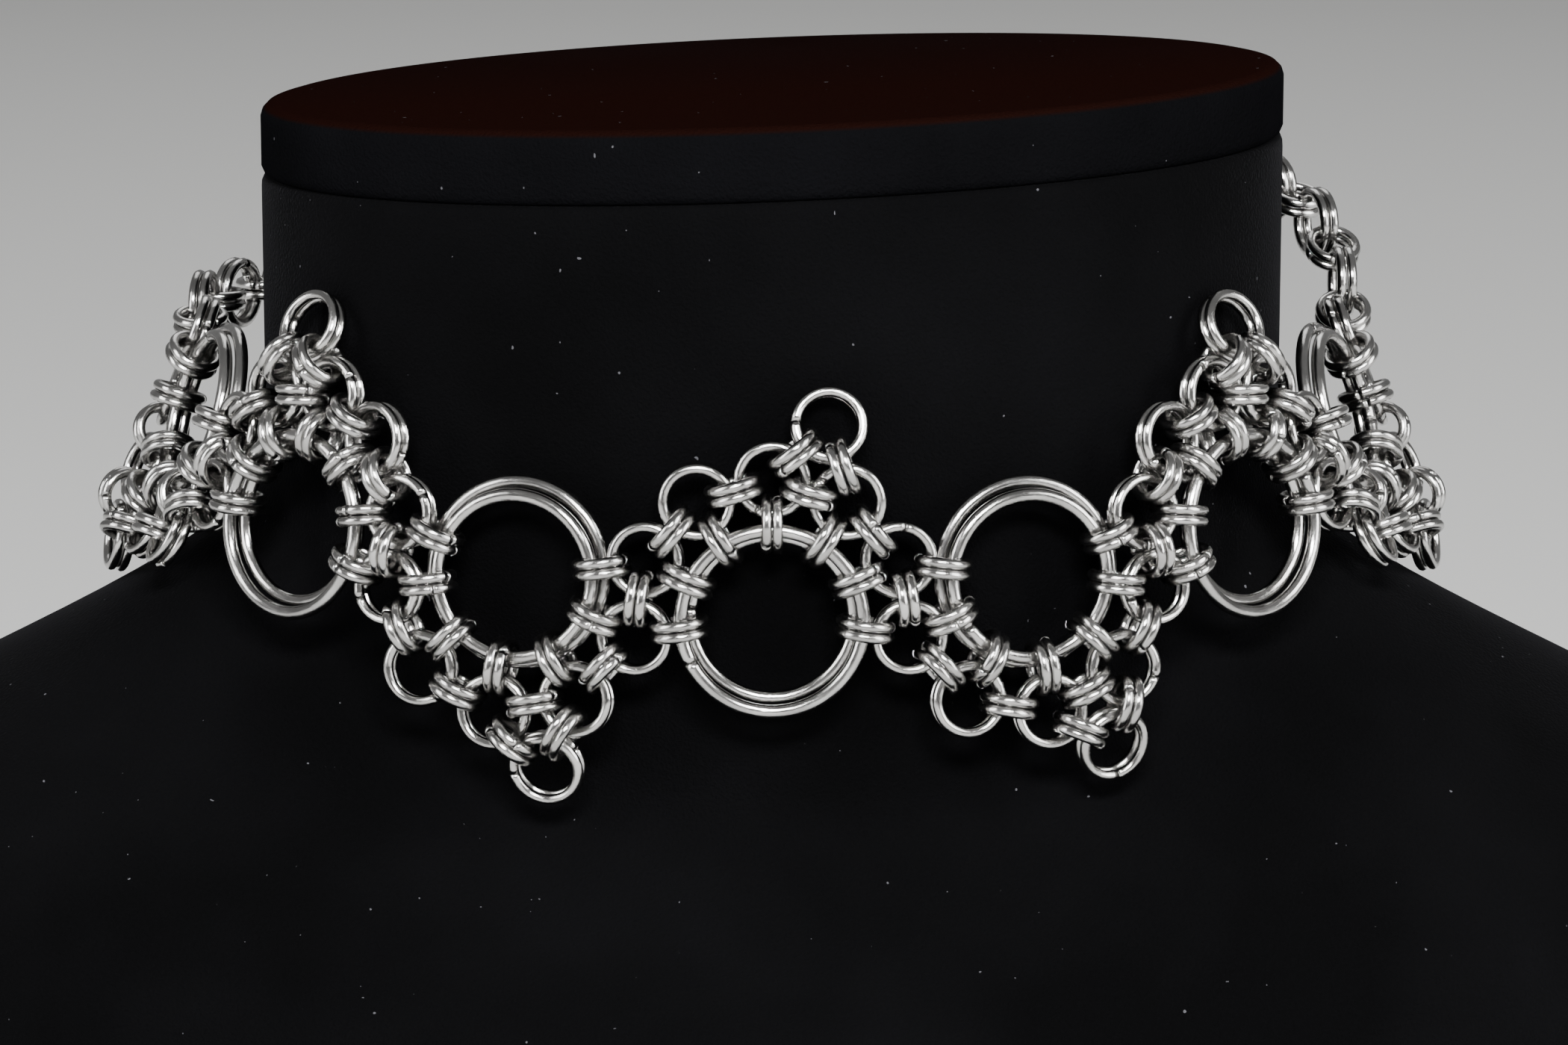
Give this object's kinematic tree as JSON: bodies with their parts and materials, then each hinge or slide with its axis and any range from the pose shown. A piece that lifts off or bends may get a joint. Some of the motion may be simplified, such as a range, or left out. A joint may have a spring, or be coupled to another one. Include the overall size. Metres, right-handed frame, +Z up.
{
  "type": "chainmail necklace on a neck bust",
  "caption": "Collar necklace of linked round wire rings in flower motifs with hanging tip rings, shown round a flared velvet neck bust, with a fine chain and clasp behind.",
  "frame": {"origin": "middle of the bust's flat underside, on the floor", "axes": "+Z up, +X to the right as the picture shows it, +Y to the back of the neck; the front faces -Y"},
  "size_m": [0.2356, 0.1476, 0.1764],
  "materials": {
    "steel": "polished",
    "bright_steel": "polished",
    "velvet": "matt pile",
    "velvet_top": "matt pile"
  },
  "bodies": {
    "root": {"bust": "velvet", "bust_cap": "velvet_top", "outer_ring_L3": "steel", "outer_ring_L2": "steel", "outer_ring_L1": "steel", "outer_ring_0": "steel", "outer_ring_R1": "steel", "outer_ring_R2": "steel", "outer_ring_R3": "steel", "inner_ring_L3": "bright_steel", "inner_ring_L2": "bright_steel", "inner_ring_L1": "bright_steel", "inner_ring_0": "bright_steel", "inner_ring_R1": "bright_steel", "inner_ring_R2": "bright_steel", "inner_ring_R3": "bright_steel", "petals_L3": "bright_steel", "petals_L2": "bright_steel", "petals_L1": "bright_steel", "petals_0": "bright_steel", "petals_R1": "bright_steel", "petals_R2": "bright_steel", "petals_R3": "bright_steel", "hinge_L4": "bright_steel", "hinge_L3": "bright_steel", "hinge_L2": "bright_steel", "hinge_L1": "bright_steel", "hinge_R1": "bright_steel", "hinge_R2": "bright_steel", "hinge_R3": "bright_steel", "hinge_R4": "bright_steel", "connectors_L2": "steel", "connectors_L1": "steel", "connectors_0": "steel", "connectors_R1": "steel", "connectors_R2": "steel", "chain_left": "steel", "chain_right": "steel", "clasp": "steel"}
  },
  "joints": []
}
